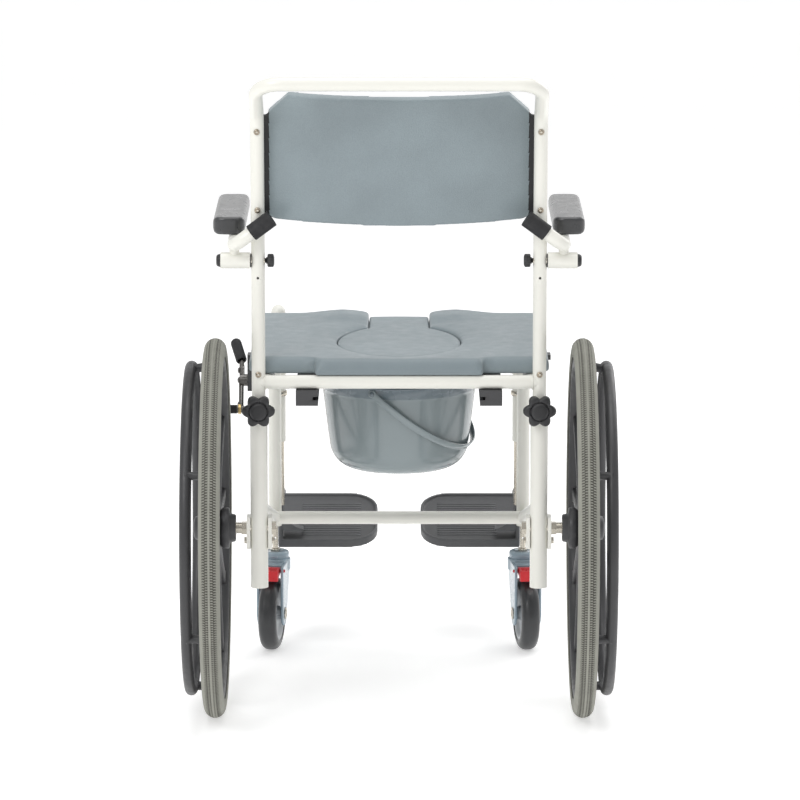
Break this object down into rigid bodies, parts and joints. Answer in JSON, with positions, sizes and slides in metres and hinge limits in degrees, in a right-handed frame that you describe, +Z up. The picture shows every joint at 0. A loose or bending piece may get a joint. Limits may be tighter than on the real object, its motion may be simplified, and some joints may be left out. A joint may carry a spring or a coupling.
{
  "type": "commode chair",
  "caption": "Self-propelled shower and toilet chair with spoked rear wheels, swivel castors, lift-up armrests, swing-away footrests, a keyhole seat and a slide-out pan.",
  "frame": {"origin": "on the floor under the middle of the chair's length and width", "axes": "+Z up, +Y the way the user faces, +X to the user's right"},
  "size_m": [0.685, 0.9863, 1.047],
  "materials": {
    "frame_paint": "cream white powder coat, satin",
    "seat_foam": "blue-grey integral-skin foam, fine grained",
    "back_foam": "blue-grey integral-skin foam, fine grained",
    "pad_black": "black integral-skin foam, soft sheen",
    "black_plastic": "black moulded plastic",
    "black_rubber": "black rubber",
    "nickel_steel": "nickel-plated steel, satin",
    "brake_steel": "dark plated steel",
    "tyre_grey": "grey solid tyre with a fine tread",
    "wheel_black": "black glass-filled nylon",
    "push_rim_black": "black powder coat, semi-gloss",
    "castor_grey": "light blue-grey moulded plastic",
    "castor_core": "light grey moulded plastic",
    "castor_tread": "dark grey thermoplastic rubber",
    "pedal_red": "red moulded plastic",
    "footplate_grey": "dark grey moulded plastic",
    "pan_grey": "blue-grey moulded polypropylene"
  },
  "bodies": {
    "frame": {"rear_leg_left": "frame_paint", "rear_leg_right": "frame_paint", "side_tube_left": "frame_paint", "side_tube_right": "frame_paint", "lower_rail_left": "frame_paint", "lower_rail_right": "frame_paint", "rear_cross_tube": "frame_paint", "front_cross_tubes": "frame_paint", "back_frame": "frame_paint", "wheel_bracket_left": "frame_paint", "wheel_bracket_right": "frame_paint", "axle_bolts": "nickel_steel", "pan_rail_left": "black_plastic", "pan_rail_right": "black_plastic", "brake_clamp": "black_plastic", "back_pad": "back_foam", "frame_screws": "nickel_steel", "seat_pad": "seat_foam", "armrest_pivot_bolts": "nickel_steel", "armrest_pivot_caps": "black_plastic", "castor_stems": "nickel_steel"},
    "seat_insert": {"seat_insert": "seat_foam"},
    "pan": {"pan": "pan_grey"},
    "pan_handle": {"pan_handle": "pan_grey"},
    "brake_lever": {"brake_lever": "brake_steel", "brake_grip": "black_rubber"},
    "star_knob_left": {"star_knob_left": "black_plastic"},
    "armrest_knob_left": {"armrest_knob_left": "black_plastic"},
    "armrest_left": {"armrest_tube_left": "frame_paint", "armrest_pad_left": "pad_black", "armrest_stop_left": "black_rubber"},
    "wheel_left": {"wheel_rim_left": "wheel_black", "wheel_spokes_left": "wheel_black", "tyre_left": "tyre_grey", "push_rim_left": "push_rim_black", "hub_bearings_left": "nickel_steel"},
    "castor_fork_left": {"castor_fork_left": "castor_grey"},
    "castor_wheel_left": {"castor_wheel_left": "castor_core", "castor_tread_left": "castor_tread"},
    "castor_pedal_left": {"castor_pedal_left": "pedal_red"},
    "footrest_hanger_left": {"footrest_hanger_left": "frame_paint"},
    "footrest_tube_left": {"footrest_tube_left": "nickel_steel"},
    "footplate_left": {"footplate_left": "footplate_grey"},
    "star_knob_right": {"star_knob_right": "black_plastic"},
    "armrest_knob_right": {"armrest_knob_right": "black_plastic"},
    "armrest_right": {"armrest_tube_right": "frame_paint", "armrest_pad_right": "pad_black", "armrest_stop_right": "black_rubber"},
    "wheel_right": {"wheel_rim_right": "wheel_black", "wheel_spokes_right": "wheel_black", "tyre_right": "tyre_grey", "push_rim_right": "push_rim_black", "hub_bearings_right": "nickel_steel"},
    "castor_fork_right": {"castor_fork_right": "castor_grey"},
    "castor_wheel_right": {"castor_wheel_right": "castor_core", "castor_tread_right": "castor_tread"},
    "castor_pedal_right": {"castor_pedal_right": "pedal_red"},
    "footrest_hanger_right": {"footrest_hanger_right": "frame_paint"},
    "footrest_tube_right": {"footrest_tube_right": "nickel_steel"},
    "footplate_right": {"footplate_right": "footplate_grey"}
  },
  "joints": [
    {"name": "brake_lever_turn", "type": "hinge", "parent": "frame", "child": "brake_lever", "pos_m": [-0.2605, 0.1118, 0.492], "axis": [1, 0, 0], "range_deg": [0, 40]},
    {"name": "wheel_spin_left", "type": "hinge", "parent": "frame", "child": "wheel_left", "pos_m": [-0.295, -0.1882, 0.305], "axis": [1, 0, 0], "continuous": true},
    {"name": "castor_swivel_left", "type": "hinge", "parent": "frame", "child": "castor_fork_left", "pos_m": [-0.211, 0.2968, 0.15], "axis": [0, 0, 1], "continuous": true},
    {"name": "castor_roll_left", "type": "hinge", "parent": "castor_fork_left", "child": "castor_wheel_left", "pos_m": [-0.21629, 0.25917, 0.0625], "axis": [0.9903, -0.1392, 0], "continuous": true},
    {"name": "castor_pedal_press_left", "type": "hinge", "parent": "castor_fork_left", "child": "castor_pedal_left", "pos_m": [-0.21824, 0.24531, 0.139], "axis": [0.9903, -0.1392, 0], "range_deg": [0, 12]},
    {"name": "armrest_flip_left", "type": "hinge", "parent": "frame", "child": "armrest_left", "pos_m": [-0.26, -0.1882, 0.74], "axis": [1, 0, 0], "range_deg": [0, 100]},
    {"name": "armrest_knob_turn_left", "type": "hinge", "parent": "frame", "child": "armrest_knob_left", "pos_m": [-0.204, -0.1882, 0.74], "axis": [1, 0, 0], "continuous": true},
    {"name": "star_knob_turn_left", "type": "hinge", "parent": "frame", "child": "star_knob_left", "pos_m": [-0.2245, -0.2027, 0.5], "axis": [0, 1, 0], "continuous": true},
    {"name": "footrest_swing_left", "type": "hinge", "parent": "frame", "child": "footrest_hanger_left", "pos_m": [-0.205, 0.3268, 0.45], "axis": [0, 0, 1], "range_deg": [0, 90]},
    {"name": "footrest_extend_left", "type": "slide", "parent": "footrest_hanger_left", "child": "footrest_tube_left", "axis": [0, 0, 1], "range_m": [0, 0.075]},
    {"name": "footplate_flip_left", "type": "hinge", "parent": "footrest_tube_left", "child": "footplate_left", "pos_m": [-0.205, 0.3568, 0.25], "axis": [0, -1, 0], "range_deg": [0, 90]},
    {"name": "wheel_spin_right", "type": "hinge", "parent": "frame", "child": "wheel_right", "pos_m": [0.295, -0.1882, 0.305], "axis": [1, 0, 0], "continuous": true},
    {"name": "castor_swivel_right", "type": "hinge", "parent": "frame", "child": "castor_fork_right", "pos_m": [0.211, 0.2968, 0.15], "axis": [0, 0, 1], "continuous": true},
    {"name": "castor_roll_right", "type": "hinge", "parent": "castor_fork_right", "child": "castor_wheel_right", "pos_m": [0.21629, 0.25917, 0.0625], "axis": [0.9903, 0.1392, 0], "continuous": true},
    {"name": "castor_pedal_press_right", "type": "hinge", "parent": "castor_fork_right", "child": "castor_pedal_right", "pos_m": [0.21824, 0.24531, 0.139], "axis": [0.9903, 0.1392, 0], "range_deg": [0, 12]},
    {"name": "armrest_flip_right", "type": "hinge", "parent": "frame", "child": "armrest_right", "pos_m": [0.26, -0.1882, 0.74], "axis": [1, 0, 0], "range_deg": [0, 100]},
    {"name": "armrest_knob_turn_right", "type": "hinge", "parent": "frame", "child": "armrest_knob_right", "pos_m": [0.204, -0.1882, 0.74], "axis": [1, 0, 0], "continuous": true},
    {"name": "star_knob_turn_right", "type": "hinge", "parent": "frame", "child": "star_knob_right", "pos_m": [0.2245, -0.2027, 0.5], "axis": [0, 1, 0], "continuous": true},
    {"name": "footrest_swing_right", "type": "hinge", "parent": "frame", "child": "footrest_hanger_right", "pos_m": [0.205, 0.3268, 0.45], "axis": [0, 0, -1], "range_deg": [0, 90]},
    {"name": "footrest_extend_right", "type": "slide", "parent": "footrest_hanger_right", "child": "footrest_tube_right", "axis": [0, 0, 1], "range_m": [0, 0.075]},
    {"name": "footplate_flip_right", "type": "hinge", "parent": "footrest_tube_right", "child": "footplate_right", "pos_m": [0.205, 0.3568, 0.25], "axis": [0, 1, 0], "range_deg": [0, 90]},
    {"name": "seat_insert_lift", "type": "slide", "parent": "frame", "child": "seat_insert", "axis": [0, 0, 1], "range_m": [0, 0.15]},
    {"name": "pan_slide", "type": "slide", "parent": "frame", "child": "pan", "axis": [0, -1, 0], "range_m": [0, 0.36]},
    {"name": "pan_handle_swing", "type": "hinge", "parent": "pan", "child": "pan_handle", "pos_m": [0, 0.0118, 0.5095], "axis": [-0.3256, -0.9455, 0], "range_deg": [0, 28]}
  ]
}
